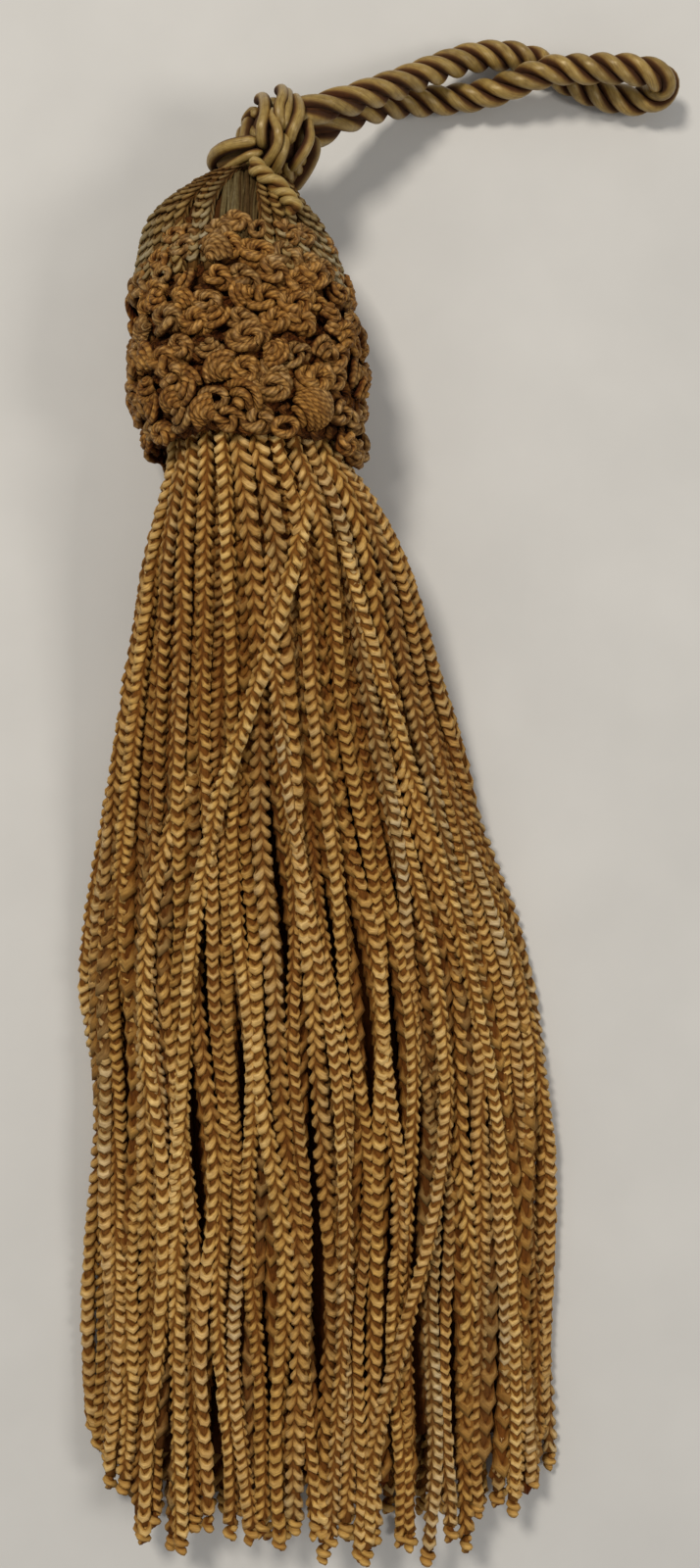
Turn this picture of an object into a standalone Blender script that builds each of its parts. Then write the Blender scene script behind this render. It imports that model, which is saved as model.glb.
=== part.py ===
"""Silk chainette tassel that lies on its side.

A bundle of chained strands is folded over at the crown, bound into a core and spread out as the
skirt. A knotted ruff covers the core, and a doubled rope leaves the crown through a knot as the
hanging loop. A short twisted tail lies on the crown's shoulder.

+Y runs from the tips of the strands to the crown, +Z is up from the surface that the tassel lies
on, and the origin is at the bottom centre of the box round everything but the loop.
"""

import math
import random
from collections import namedtuple
from functools import lru_cache

import bmesh
import bpy
from mathutils import Vector

MM = 0.001
SHARP_ANGLE = math.radians(50)

# Head: the crown and the bound core under the ruff
CROWN_TOP = 65.8 * MM
RIM = 37.2 * MM
HEAD_HEIGHT = 11.75 * MM
RIM_MIDDLE = -6.0 * MM
HEAD_LEAN = 0.0993
HEAD_COLUMNS = 60
CROWN_RIB = 0.16 * MM
CLEARANCE = 0.35 * MM

# Distances down from the crown's top, radii, and the crown's lean towards the loop's side
Turn = namedtuple("Turn", "down radius shift ribbed")
BUNDLE_TURNS = (
    Turn(0.0, 2.2, 1.9, 0),
    Turn(0.2, 4.0, 1.8, 0),
    Turn(1.2, 5.1, 1.2, 1),
    Turn(2.3, 6.1, 0.7, 1),
    Turn(3.3, 7.1, 0.3, 1),
    Turn(4.3, 8.0, 0.1, 1),
    Turn(5.3, 8.7, 0.0, 1),
    Turn(6.1, 9.0, 0.0, 1),
    Turn(6.5, 8.0, 0.0, 0),
    Turn(9.0, 8.3, 0.0, 0),
    Turn(12.0, 8.9, 0.0, 0),
    Turn(20.0, 9.0, 0.0, 0),
    Turn(27.1, 9.0, 0.0, 0),
)

# Ruff: rows of knots round the head
RUFF_TOP = 7.0
RUFF_ROWS = 7
RUFF_KNOTS = 15
ROW_STEPS = 3
KNOT_RISE = 1.15 * MM
KNOT_FULLNESS = 0.8
KNOT_LEAST = 0.72
KNOT_MOST = 1.08
RUFF_SEED = 23
PRESSED_FROM = 15.0
PRESSED_TO = 25.0
PRESSED_HALF_ANGLE = math.radians(19)
Swell = namedtuple("Swell", "down radius")
RUFF_SWELLS = (
    Swell(7.0, 9.3),
    Swell(8.5, 9.7),
    Swell(10.0, 10.3),
    Swell(12.0, 11.0),
    Swell(14.0, 11.3),
    Swell(17.0, 11.7),
    Swell(20.0, 12.0),
    Swell(22.0, 11.95),
    Swell(24.0, 11.8),
    Swell(26.0, 11.5),
    Swell(28.6, 11.1),
)

# Skirt: strands in nested layers, in mm, a row for each section below the ruff's rim.
# middle and half are the section's centre and half width, crest and under its top and bottom,
# side the height of its widest place, layer and inset the steps from one layer to the next.
Section = namedtuple("Section", "below middle half crest under side layer inset wide thick")
SKIRT_SECTIONS = (
    Section(-3.7, -6.35, 8.85, 20.60, 2.90, 11.75, 1.60, 1.60, 1.20, 1.20),
    Section(0.0, -6.00, 8.95, 20.75, 2.75, 11.70, 1.60, 1.60, 1.22, 1.20),
    Section(3.5, -5.20, 10.70, 21.60, 1.60, 11.20, 1.80, 1.80, 1.25, 1.20),
    Section(9.0, -4.50, 13.20, 20.90, 0.60, 9.80, 2.20, 2.30, 1.30, 1.25),
    Section(16.0, -4.00, 15.30, 19.00, 0.10, 7.20, 2.30, 2.90, 1.40, 1.30),
    Section(25.0, -3.60, 17.80, 16.60, 0.00, 4.20, 2.25, 3.60, 1.50, 1.40),
    Section(36.0, -2.90, 20.70, 14.20, 0.00, 2.20, 2.05, 4.60, 1.60, 1.40),
    Section(50.0, -1.50, 23.90, 12.20, 0.00, 1.20, 1.85, 5.60, 1.65, 1.40),
    Section(68.0, -0.10, 24.90, 10.80, 0.00, 0.70, 1.75, 6.20, 1.70, 1.40),
    Section(90.0, 0.00, 25.20, 10.20, 0.00, 0.70, 1.75, 6.20, 1.70, 1.40),
    Section(112.0, 0.00, 25.20, 10.20, 0.00, 0.70, 1.75, 6.20, 1.70, 1.40),
)
LAYER_STRANDS = (34, 27, 20)
STRAND_LENGTH = 110.0
LENGTH_SPREAD = 1.5
SIDE_SHORTENING = 9.0
SIDE_NARROWNESS = 12
LAST_STEP = 6.0
STRAND_WANDER = 0.17
LEAST_WANDER = 0.4
WANDER_WAVE = 70.0
WANDER_FROM = 36.0
TURN_FLAT_BY = 40.0
CURVE_SAMPLES = 360
STRAND_SEED = 11

# Rope of the hanging loop: three plies laid right-handed
ROPE_RADIUS = 1.60 * MM
PLY_DEPTH = 0.36 * MM
ROPE_LAY = 7.5 * MM
ROPE_SIDES = 12
ROPE_STEP = 0.86 * MM

# Points worked out between two of a route's own points
SPLINE_STEPS = 12

# The loop's route in mm, from the knot out to the bight and back to the knot
LOOP_ROUTE = (
    (-2.3, 70.9, 14.2),
    (0.0, 72.0, 13.2),
    (2.5, 73.1, 11.8),
    (5.5, 74.8, 9.8),
    (8.6, 76.6, 7.8),
    (11.6, 78.5, 5.8),
    (15.3, 80.4, 4.0),
    (18.6, 81.3, 2.7),
    (21.7, 81.2, 1.9),
    (24.2, 80.3, 1.7),
    (26.8, 78.8, 1.7),
    (29.8, 77.5, 1.7),
    (32.6, 76.9, 1.9),
    (35.0, 76.9, 2.7),
    (36.0, 77.5, 4.1),
    (35.2, 78.0, 5.6),
    (32.6, 78.4, 6.3),
    (29.6, 78.65, 6.1),
    (27.0, 78.75, 5.6),
    (24.5, 78.8, 5.3),
    (21.9, 78.3, 4.7),
    (19.3, 77.6, 3.5),
    (16.7, 77.2, 2.5),
    (13.7, 76.9, 2.1),
    (10.7, 76.5, 2.6),
    (7.6, 75.7, 4.0),
    (5.0, 74.4, 5.9),
    (2.5, 72.9, 7.6),
    (0.2, 71.3, 8.9),
    (-1.9, 69.6, 9.9),
)

# Knot of the doubled rope, in mm: a core with four wraps of rope over it
KNOT_CENTRE = (-5.6, 69.1, 12.8)
KNOT_CORE = (3.9, 3.9, 4.2)
WRAP_RADIUS = 1.55 * MM
WRAP_SIDES = 8
WRAP_STEP = 1.1 * MM
CORE_SEGMENTS = 16
CORE_RINGS = 10
SOCKET_STEPS = 8
KNOT_WRAPS = (
    ((-9.6, 67.4, 10.6), (-10.2, 68.0, 13.0), (-8.9, 68.5, 15.3), (-6.6, 68.8, 16.3), (-4.6, 69.0, 15.8)),
    ((-6.1, 67.6, 16.2), (-5.6, 70.2, 16.6), (-5.0, 72.2, 15.1), (-4.7, 72.7, 12.3), (-5.2, 72.0, 9.6)),
    ((-3.5, 66.4, 16.9), (-3.9, 69.0, 17.6), (-3.6, 71.7, 16.4), (-3.2, 72.7, 13.4), (-3.3, 72.0, 10.4)),
    ((-2.2, 71.6, 14.4), (-1.3, 69.4, 15.8), (-1.6, 67.2, 16.4), (-2.7, 65.4, 16.7), (-3.8, 65.0, 16.4)),
)

# Tail: a thin two-ply end over the crown's shoulder, as x and y in mm
TAIL_ROUTE = ((-5.3, 64.3), (-4.2, 63.3), (-3.2, 61.9), (-2.5, 60.9), (-2.0, 60.0))
TAIL_RADIUS = 0.80 * MM
TAIL_PLY_DEPTH = 0.26 * MM
TAIL_LAY = 3.2 * MM
TAIL_SIDES = 8
TAIL_STEP = 0.4 * MM


def clear_scene():
    """Remove the objects of the start-up scene."""
    for obj in list(bpy.data.objects):
        bpy.data.objects.remove(obj, do_unlink=True)


def make_material(name, colour, roughness):
    """Return a plain silk material."""
    material = bpy.data.materials.new(name)
    material.use_nodes = True
    shader = material.node_tree.nodes["Principled BSDF"]
    shader.inputs["Base Color"].default_value = (*colour, 1.0)
    shader.inputs["Roughness"].default_value = roughness
    shader.inputs["Metallic"].default_value = 0.0
    return material


def between(rows, place):
    """Return a table's row at a place in its first column, in a straight line between two rows."""
    if place <= rows[0][0]:
        return rows[0]
    for low, high in zip(rows, rows[1:]):
        if place <= high[0]:
            part = (place - low[0]) / (high[0] - low[0])
            return type(low)(*[a + (b - a) * part for a, b in zip(low, high)])
    return rows[-1]


def add_rings(mesh, rings, closed=False):
    """Join rings of points into a tube with end caps, or into a closed band without them."""
    made = [[mesh.verts.new(point) for point in ring] for ring in rings]
    pairs = list(zip(made, made[1:]))
    if closed:
        pairs.append((made[-1], made[0]))
    count = len(made[0])
    for first, second in pairs:
        for i in range(count):
            j = (i + 1) % count
            mesh.faces.new((first[i], first[j], second[j], second[i]))
    if not closed:
        mesh.faces.new(list(reversed(made[0])))
        mesh.faces.new(made[-1])


def make_object(name, mesh, material):
    """Turn an edit mesh into a named object with its faces pointing out."""
    bmesh.ops.recalc_face_normals(mesh, faces=mesh.faces)
    if mesh.calc_volume(signed=True) < 0:
        bmesh.ops.reverse_faces(mesh, faces=mesh.faces)
    data = bpy.data.meshes.new(name)
    mesh.to_mesh(data)
    mesh.free()
    data.materials.append(material)
    data.shade_smooth()
    data.set_sharp_from_angle(angle=SHARP_ANGLE)
    obj = bpy.data.objects.new(name, data)
    bpy.context.collection.objects.link(obj)
    return obj


def combine(target, helper, operation):
    """Add or cut a helper object, which itself stays out of the model."""
    helper.hide_render = True
    helper.display_type = "WIRE"
    modifier = target.modifiers.new(operation.lower() + "_" + helper.name, "BOOLEAN")
    modifier.operation = operation
    modifier.object = helper
    modifier.solver = "EXACT"


def head_middle(y):
    """Return the X of the head's axis at a Y."""
    return RIM_MIDDLE - HEAD_LEAN * (y - RIM)


def head_ring(down, radius_at, shift=0.0):
    """Return a ring of points round the head's axis, in the plane of one Y."""
    y = CROWN_TOP - down * MM
    middle = head_middle(y) + shift * MM
    ring = []
    for column in range(HEAD_COLUMNS):
        angle = 2 * math.pi * column / HEAD_COLUMNS
        radius = radius_at(column)
        ring.append(Vector((middle + radius * math.cos(angle), y, HEAD_HEIGHT + radius * math.sin(angle))))
    return ring


def bundle_rings(grow=0.0):
    """Return the rings of the crown and core, with low ribs where the folded strands show."""
    rings = []
    for turn in BUNDLE_TURNS:
        rib = CROWN_RIB * turn.ribbed * (grow == 0.0)
        radius = turn.radius * MM + grow + (CROWN_RIB if grow else 0.0) * turn.ribbed
        rings.append(head_ring(turn.down, lambda column: radius + rib * (-1) ** column, turn.shift))
    return rings


@lru_cache(maxsize=None)
def layer_curve(row, layer):
    """Return a closed curve of strand centres round a section's layer, from its top to +X."""
    thick = row.thick * MM
    top = row.crest * MM - thick / 2 - layer * row.layer * MM
    bottom = row.under * MM + thick / 2 + layer * row.layer * MM
    half = (row.half - row.wide / 2 - layer * row.inset) * MM
    side = min(max(row.side * MM, bottom), (top + bottom) / 2)
    curve = []
    for step in range(CURVE_SAMPLES):
        angle = math.pi / 2 - 2 * math.pi * step / CURVE_SAMPLES
        reach = (top - side) if math.sin(angle) > 0 else (side - bottom)
        curve.append((row.middle * MM + half * math.cos(angle), side + reach * math.sin(angle)))
    curve.append(curve[0])
    return curve


def along_curve(curve, fraction):
    """Return the place and the direction at a fraction of a closed curve's length."""
    spans = [math.dist(a, b) for a, b in zip(curve, curve[1:])]
    left = (fraction % 1.0) * sum(spans)
    index = 0
    while left > spans[index]:
        left -= spans[index]
        index += 1
    (x, z), (next_x, next_z) = curve[index], curve[index + 1]
    part = left / spans[index]
    place = (x + (next_x - x) * part, z + (next_z - z) * part)
    return place, math.atan2(next_z - z, next_x - x)


def strand_ring(row, layer, fraction):
    """Return the four corners of a strand in one section, its flat turned along its layer."""
    (x, z), direction = along_curve(layer_curve(row, layer), fraction)
    flat = round(direction / math.pi) * math.pi
    turned = min(max(row.below / TURN_FLAT_BY, 0.0), 1.0)
    angle = direction + (flat - direction) * turned
    along = Vector((math.cos(angle), 0.0, math.sin(angle))) * row.wide * MM / 2
    across = Vector((-math.sin(angle), 0.0, math.cos(angle))) * row.thick * MM / 2
    centre = Vector((x, RIM - row.below * MM, z))
    corners = ((1, 1), (-1, 1), (-1, -1), (1, -1))
    return [centre + along * a + across * b for a, b in corners]


def strand_rings(draw, layer, index):
    """Return the rings of one strand, which wanders a little once it is free of its neighbours."""
    count = LAYER_STRANDS[layer]
    base = (index + 0.5) / count
    phase = draw.uniform(0, 2 * math.pi)
    sway = draw.uniform(LEAST_WANDER, 1.0) * STRAND_WANDER / count
    length = STRAND_LENGTH + draw.uniform(-1, 1) * LENGTH_SPREAD
    if layer == 0:
        length -= SIDE_SHORTENING * abs(math.sin(2 * math.pi * base)) ** SIDE_NARROWNESS
    rows = [row for row in SKIRT_SECTIONS if row.below < length - LAST_STEP]
    rows.append(between(SKIRT_SECTIONS, length))
    rings = []
    for row in rows:
        free = min(max(row.below / WANDER_FROM, 0.0), 1.0)
        wave = math.sin(2 * math.pi * row.below / WANDER_WAVE + phase)
        rings.append(strand_ring(row, layer, base + sway * wave * free))
    return rings


def make_bundle(material):
    """Make the crown and bound core with the skirt's strands fused into its end."""
    core = bmesh.new()
    add_rings(core, bundle_rings())
    bundle = make_object("strand_bundle", core, material)
    draw = random.Random(STRAND_SEED)
    mesh = bmesh.new()
    for layer, count in enumerate(LAYER_STRANDS):
        for index in range(count):
            add_rings(mesh, strand_rings(draw, layer, index))
    combine(bundle, make_object("strands", mesh, material), "UNION")
    return bundle


def ruff_radius(down, column, knots):
    """Return the ruff's outer radius: a smooth swell, with a rounded knot in each place."""
    swell = between(RUFF_SWELLS, down).radius * MM
    pitch = (RUFF_SWELLS[-1].down - RUFF_TOP) / RUFF_ROWS
    place = (down - RUFF_TOP) / pitch
    row = min(int(place), RUFF_ROWS - 1)
    turn = column * RUFF_KNOTS / HEAD_COLUMNS + 0.5 * (row % 2)
    u = turn - math.floor(turn) - 0.5
    v = place - row - 0.5
    bulge = math.cos(math.pi * u) * math.cos(math.pi * min(abs(v), 0.5))
    rise = KNOT_RISE * max(bulge, 0.0) ** KNOT_FULLNESS
    return swell - KNOT_RISE + rise * knots[row][math.floor(turn) % RUFF_KNOTS]


def make_ruff(material):
    """Make the knotted ruff as a sleeve round the core, pressed flat where it rests."""
    draw = random.Random(RUFF_SEED)
    knots = [[draw.uniform(KNOT_LEAST, KNOT_MOST) for _ in range(RUFF_KNOTS)] for _ in range(RUFF_ROWS)]
    steps = RUFF_ROWS * ROW_STEPS
    length = RUFF_SWELLS[-1].down - RUFF_TOP
    rings = []
    for step in range(steps + 1):
        down = RUFF_TOP + length * step / steps
        ring = head_ring(down, lambda column: ruff_radius(down, column, knots))
        for column, point in enumerate(ring):
            away = abs(2 * math.pi * column / HEAD_COLUMNS - 1.5 * math.pi)
            if PRESSED_FROM < down < PRESSED_TO and away < PRESSED_HALF_ANGLE:
                point.z = 0.0
            point.z = max(point.z, 0.0)
        rings.append(ring)
    inner = [turn for turn in BUNDLE_TURNS if RUFF_TOP < turn.down < RUFF_SWELLS[-1].down]
    ends = (between(BUNDLE_TURNS, RUFF_TOP), between(BUNDLE_TURNS, RUFF_SWELLS[-1].down))
    downs = [RUFF_SWELLS[-1].down] + [turn.down for turn in reversed(inner)] + [RUFF_TOP]
    radii = [ends[1].radius] + [turn.radius for turn in reversed(inner)] + [ends[0].radius]
    for down, radius in zip(downs, radii):
        rings.append(head_ring(down, lambda column: radius * MM + CLEARANCE))
    mesh = bmesh.new()
    add_rings(mesh, rings, closed=True)
    return make_object("knotted_ruff", mesh, material)


def smooth_route(points, step):
    """Return points at even steps on a smooth curve through a route's own points."""
    nodes = [Vector(point) * MM for point in points]
    ends = [nodes[0] * 2 - nodes[1], *nodes, nodes[-1] * 2 - nodes[-2]]
    dense = []
    for a, b, c, d in zip(ends, ends[1:], ends[2:], ends[3:]):
        for k in range(SPLINE_STEPS):
            t = k / SPLINE_STEPS
            bend = (2 * a - 5 * b + 4 * c - d) * t * t + (3 * b - a - 3 * c + d) * t ** 3
            dense.append(b + ((c - a) * t + bend) * 0.5)
    dense.append(nodes[-1])
    total = sum((q - p).length for p, q in zip(dense, dense[1:]))
    count = max(2, round(total / step))
    even = [dense[0]]
    walked = 0.0
    for p, q in zip(dense, dense[1:]):
        span = (q - p).length
        while len(even) < count and walked + span >= total * len(even) / count:
            even.append(p.lerp(q, (total * len(even) / count - walked) / span))
        walked += span
    even.append(dense[-1])
    return even


def twisted_rings(points, sides, radius_at):
    """Return rings square to a route, with radii by the distance run and the angle."""
    side = (points[1] - points[0]).cross(Vector((0, 0, 1))).normalized()
    walked = 0.0
    rings = []
    for index, point in enumerate(points):
        before = points[max(index - 1, 0)]
        after = points[min(index + 1, len(points) - 1)]
        ahead = (after - before).normalized()
        side = (side - ahead * side.dot(ahead)).normalized()
        up = side.cross(ahead)
        walked += (point - before).length
        ring = []
        for corner in range(sides):
            angle = 2 * math.pi * corner / sides
            radius = radius_at(walked, angle)
            ring.append(point + (side * math.cos(angle) + up * math.sin(angle)) * radius)
        rings.append(ring)
    return rings


def plied(radius, depth, lay, plies):
    """Return the radius of a rope with its plies raised, as a function of distance and angle."""
    def radius_at(walked, angle):
        turn = 2 * math.pi * walked / lay
        return radius - depth / 2 + depth / 2 * math.cos(plies * (angle + turn))
    return radius_at


def plain(radius):
    """Return a constant radius as a function of distance and angle."""
    return lambda walked, angle: radius


def make_loop(material):
    """Make the hanging loop, one length of three-ply rope."""
    points = smooth_route(LOOP_ROUTE, ROPE_STEP)
    mesh = bmesh.new()
    add_rings(mesh, twisted_rings(points, ROPE_SIDES, plied(ROPE_RADIUS, PLY_DEPTH, ROPE_LAY, 3)))
    return make_object("hanging_loop", mesh, material)


def tail_points():
    """Return the tail's route, which rests on the crown at a small clearance."""
    route = []
    for x, y in TAIL_ROUTE:
        turn = between(BUNDLE_TURNS, (CROWN_TOP / MM - y))
        off = x * MM - head_middle(y * MM) - turn.shift * MM
        reach = turn.radius * MM + CROWN_RIB + CLEARANCE + TAIL_RADIUS
        route.append((x, y, (HEAD_HEIGHT + math.sqrt(reach ** 2 - off ** 2)) / MM))
    return smooth_route(route, TAIL_STEP)


def make_tail(material):
    """Make the short two-ply tail on the crown's shoulder."""
    mesh = bmesh.new()
    twisted = plied(TAIL_RADIUS, TAIL_PLY_DEPTH, TAIL_LAY, 2)
    add_rings(mesh, twisted_rings(tail_points(), TAIL_SIDES, twisted))
    return make_object("tail_cord", mesh, material)


def make_cutter(name, rings, material):
    """Make a closed tube that is only used to cut its neighbour clear."""
    mesh = bmesh.new()
    add_rings(mesh, rings)
    return make_object(name, mesh, material)


def make_knot(material):
    """Make the knot: a core with four wraps of rope, cut clear of crown, tail and loop."""
    mesh = bmesh.new()
    bmesh.ops.create_uvsphere(mesh, u_segments=CORE_SEGMENTS, v_segments=CORE_RINGS, radius=1.0)
    for vert in mesh.verts:
        vert.co = Vector([(c + v * s) * MM for c, v, s in zip(KNOT_CENTRE, vert.co, KNOT_CORE)])
    knot = make_object("rope_knot", mesh, material)
    for number, wrap in enumerate(KNOT_WRAPS):
        points = smooth_route(wrap, WRAP_STEP)
        rings = twisted_rings(points, WRAP_SIDES, plain(WRAP_RADIUS))
        combine(knot, make_cutter("wrap_%d" % number, rings, material), "UNION")
    combine(knot, make_cutter("crown_clear", bundle_rings(CLEARANCE), material), "DIFFERENCE")
    tail = twisted_rings(tail_points(), WRAP_SIDES, plain(TAIL_RADIUS + CLEARANCE))
    combine(knot, make_cutter("tail_clear", tail, material), "DIFFERENCE")
    points = smooth_route(LOOP_ROUTE, ROPE_STEP)
    legs = {"leg_clear_out": points[:SOCKET_STEPS], "leg_clear_back": points[::-1][:SOCKET_STEPS]}
    for name, ends in legs.items():
        start = ends[0] + (ends[0] - ends[1]).normalized() * CLEARANCE
        rings = twisted_rings([start, *ends[1:]], ROPE_SIDES, plain(ROPE_RADIUS + CLEARANCE))
        combine(knot, make_cutter(name, rings, material), "DIFFERENCE")
    return knot


def main():
    clear_scene()
    silk = make_material("bronze_silk", (0.29, 0.17, 0.065), 0.55)
    chained = make_material("knotted_silk", (0.27, 0.15, 0.055), 0.6)
    satin = make_material("satin_rope", (0.27, 0.17, 0.055), 0.4)
    pale = make_material("pale_thread", (0.38, 0.31, 0.15), 0.45)
    make_bundle(silk)
    make_ruff(chained)
    make_knot(satin)
    make_loop(satin)
    make_tail(pale)


main()
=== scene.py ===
"""Silk chainette tassel: the finish of every piece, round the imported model.

The tassel lies on its side. +Y runs from the strands' tips to the crown, +Z is up. Lengths are in
millimetres in the tables and in metres in Blender.
"""

import math
from collections import namedtuple

import bpy
import numpy as np
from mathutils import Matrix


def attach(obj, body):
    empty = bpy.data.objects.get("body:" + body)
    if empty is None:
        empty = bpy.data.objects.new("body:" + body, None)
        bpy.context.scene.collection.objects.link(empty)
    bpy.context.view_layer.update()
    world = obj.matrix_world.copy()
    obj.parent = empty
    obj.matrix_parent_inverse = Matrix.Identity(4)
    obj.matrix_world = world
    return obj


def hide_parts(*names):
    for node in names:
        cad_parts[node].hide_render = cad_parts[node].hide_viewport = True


bl_info = {
    "name": "Silk tassel",
    "version": (1, 0, 0),
    "blender": (4, 5, 0),
    "location": "View3D > Sidebar > Tassel",
    "description": "Dresses a chainette tassel with chained strands, a knotted ruff and a rope loop",
    "category": "Add Mesh",
}

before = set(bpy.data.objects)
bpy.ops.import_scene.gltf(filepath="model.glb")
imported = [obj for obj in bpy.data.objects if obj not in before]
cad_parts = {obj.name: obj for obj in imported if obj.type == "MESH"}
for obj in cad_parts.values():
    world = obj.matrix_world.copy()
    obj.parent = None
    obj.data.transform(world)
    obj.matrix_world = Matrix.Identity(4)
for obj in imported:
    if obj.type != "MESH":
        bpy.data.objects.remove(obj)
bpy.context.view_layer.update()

MM = 0.001
TAU = 2 * math.pi
LEAST_HEIGHT = 0.05 * MM

# Head, as in the part's source
CROWN_TOP = 65.8
RIM = 37.2
HEAD_HEIGHT = 11.75
RIM_MIDDLE = -6.0
HEAD_LEAN = 0.0993

# The skirt's sections: distance below the rim, middle, half width, heights of crest, underside and side
SKIRT_SECTIONS = (
    (-3.7, -6.35, 8.85, 20.60, 2.90, 11.75),
    (0.0, -6.00, 8.95, 20.75, 2.75, 11.70),
    (3.5, -5.20, 10.70, 21.60, 1.60, 11.20),
    (9.0, -4.50, 13.20, 20.90, 0.60, 9.80),
    (16.0, -4.00, 15.30, 19.00, 0.10, 7.20),
    (25.0, -3.60, 17.80, 16.60, 0.00, 4.20),
    (36.0, -2.90, 20.70, 14.20, 0.00, 2.20),
    (50.0, -1.50, 23.90, 12.20, 0.00, 1.20),
    (68.0, -0.10, 24.90, 10.80, 0.00, 0.90),
    (90.0, 0.00, 25.20, 10.20, 0.00, 0.90),
    (114.0, 0.00, 25.20, 10.20, 0.00, 0.90),
)

# Surfaces round the head's axis: distance down from the crown's top, radius, shift across
CROWN_TURNS = np.array((
    (-0.3, 1.6, 1.9), (0.0, 2.6, 1.9), (0.3, 4.0, 1.8), (1.2, 5.1, 1.2), (2.3, 6.1, 0.7), (3.3, 7.1, 0.3),
    (4.3, 8.0, 0.1), (5.3, 8.7, 0.0), (6.1, 9.1, 0.0), (7.5, 9.6, 0.0), (10.0, 10.3, 0.0),
    (13.0, 10.9, 0.0), (16.0, 10.7, 0.0),
))
RUFF_TURNS = np.array((
    (6.6, 9.9, 0.0), (8.5, 10.5, 0.0), (10.0, 11.0, 0.0), (12.0, 11.5, 0.0), (14.0, 11.8, 0.0),
    (17.0, 12.1, 0.0), (20.0, 12.3, -0.1), (22.0, 12.3, -0.2), (24.0, 12.1, -0.2), (26.0, 11.7, -0.1),
    (28.8, 11.2, 0.0),
))

# The loop's route from the knot out to the bight and back, as in the part's source
LOOP_ROUTE = (
    (-2.3, 70.9, 14.2), (0.0, 72.0, 13.2), (2.5, 73.1, 11.8), (5.5, 74.8, 9.8), (8.6, 76.6, 7.8),
    (11.6, 78.5, 5.8), (15.3, 80.4, 4.0), (18.6, 81.3, 2.7), (21.7, 81.2, 1.9), (24.2, 80.3, 1.7),
    (26.8, 78.8, 1.7), (29.8, 77.5, 1.7), (32.6, 76.9, 1.9), (35.0, 76.9, 2.7), (36.0, 77.5, 4.1),
    (35.2, 78.0, 5.6), (32.6, 78.4, 6.3), (29.6, 78.65, 6.1), (27.0, 78.75, 5.6), (24.5, 78.8, 5.3),
    (21.9, 78.3, 4.7), (19.3, 77.6, 3.5), (16.7, 77.2, 2.5), (13.7, 76.9, 2.1), (10.7, 76.5, 2.6),
    (7.6, 75.7, 4.0), (5.0, 74.4, 5.9), (2.5, 72.9, 7.6), (0.2, 71.3, 8.9), (-1.9, 69.6, 9.9),
)

# The knot's plies: radius, tint, route
KNOT_PLIES = (
    (0.68, 0.7, ((-5.9, 67.9, 15.8), (-7.1, 67.8, 15.6), (-8.3, 67.7, 15.2), (-9.4, 67.5, 14.6),
                 (-10.2, 67.3, 13.4), (-10.5, 66.9, 12.2), (-10.1, 66.5, 11.0))),
    (0.50, 0.8, ((-5.4, 66.9, 15.4), (-6.5, 66.6, 15.6), (-7.4, 66.3, 15.2), (-8.3, 66.0, 14.6),
                 (-9.2, 65.7, 13.6), (-10.0, 65.7, 12.4))),
    (0.66, 0.5, ((-6.1, 72.9, 12.6), (-5.4, 72.7, 14.0), (-5.1, 71.5, 15.6), (-5.1, 70.2, 16.4),
                 (-5.4, 68.9, 16.6), (-5.4, 67.9, 16.2), (-5.2, 67.5, 15.2))),
    (0.56, 0.9, ((-4.5, 71.0, 15.6), (-4.2, 69.6, 16.8), (-3.8, 68.3, 17.4), (-3.8, 67.2, 17.2),
                 (-4.3, 66.4, 16.6), (-5.0, 65.8, 15.6), (-5.4, 65.6, 14.4))),
    (0.62, 0.5, ((-4.0, 73.6, 13.2), (-3.5, 73.3, 14.6), (-3.4, 72.0, 16.2), (-3.7, 70.9, 16.8),
                 (-3.6, 69.6, 16.8), (-3.3, 68.9, 16.2))),
    (0.58, 0.4, ((-3.0, 73.5, 13.6), (-2.9, 72.3, 15.2), (-2.9, 71.0, 16.2), (-3.1, 69.7, 16.5),
                 (-3.3, 68.7, 16.2))),
    (0.66, 0.7, ((-2.3, 72.9, 13.6), (-1.9, 71.7, 15.2), (-1.8, 70.4, 16.2), (-2.1, 69.3, 16.7),
                 (-2.5, 68.4, 16.6), (-2.8, 67.7, 15.8))),
    (0.60, 0.8, ((-1.1, 71.0, 14.0), (-0.9, 69.5, 14.9), (-0.8, 68.3, 15.2), (-1.3, 67.1, 15.2),
                 (-2.1, 66.2, 14.6), (-2.8, 65.9, 13.4))),
    (0.85, 0.1, ((-0.6, 69.4, 12.6), (-0.5, 68.1, 12.2), (-1.1, 66.8, 11.6), (-2.0, 65.6, 11.0),
                 (-2.7, 65.0, 10.4))),
    (0.66, 0.2, ((-6.0, 71.7, 13.6), (-6.7, 71.4, 13.0), (-7.1, 70.8, 12.4), (-6.5, 69.7, 13.4),
                 (-5.8, 68.6, 14.8))),
    (1.10, 0.0, ((-4.6, 66.9, 13.0), (-6.2, 66.6, 13.0), (-8.0, 66.4, 12.4), (-9.5, 66.2, 11.4))),
    (0.85, 0.0, ((-5.8, 67.4, 13.9), (-7.4, 67.2, 13.8), (-8.8, 66.9, 13.2), (-9.8, 66.6, 12.2))),
    (1.00, 0.0, ((-2.0, 68.9, 12.4), (-2.2, 67.4, 12.2), (-2.9, 66.0, 11.8), (-3.8, 65.0, 11.2))),
    (0.60, 0.4, ((-3.1, 68.3, 16.4), (-3.2, 67.1, 16.5), (-3.6, 66.0, 16.2), (-4.1, 65.4, 15.2),
                 (-4.6, 65.2, 14.0))),
)
KNOT_CENTRE = (-4.3, 68.9, 12.7)
KNOT_REACH = (2.4, 3.4, 3.2)
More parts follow.
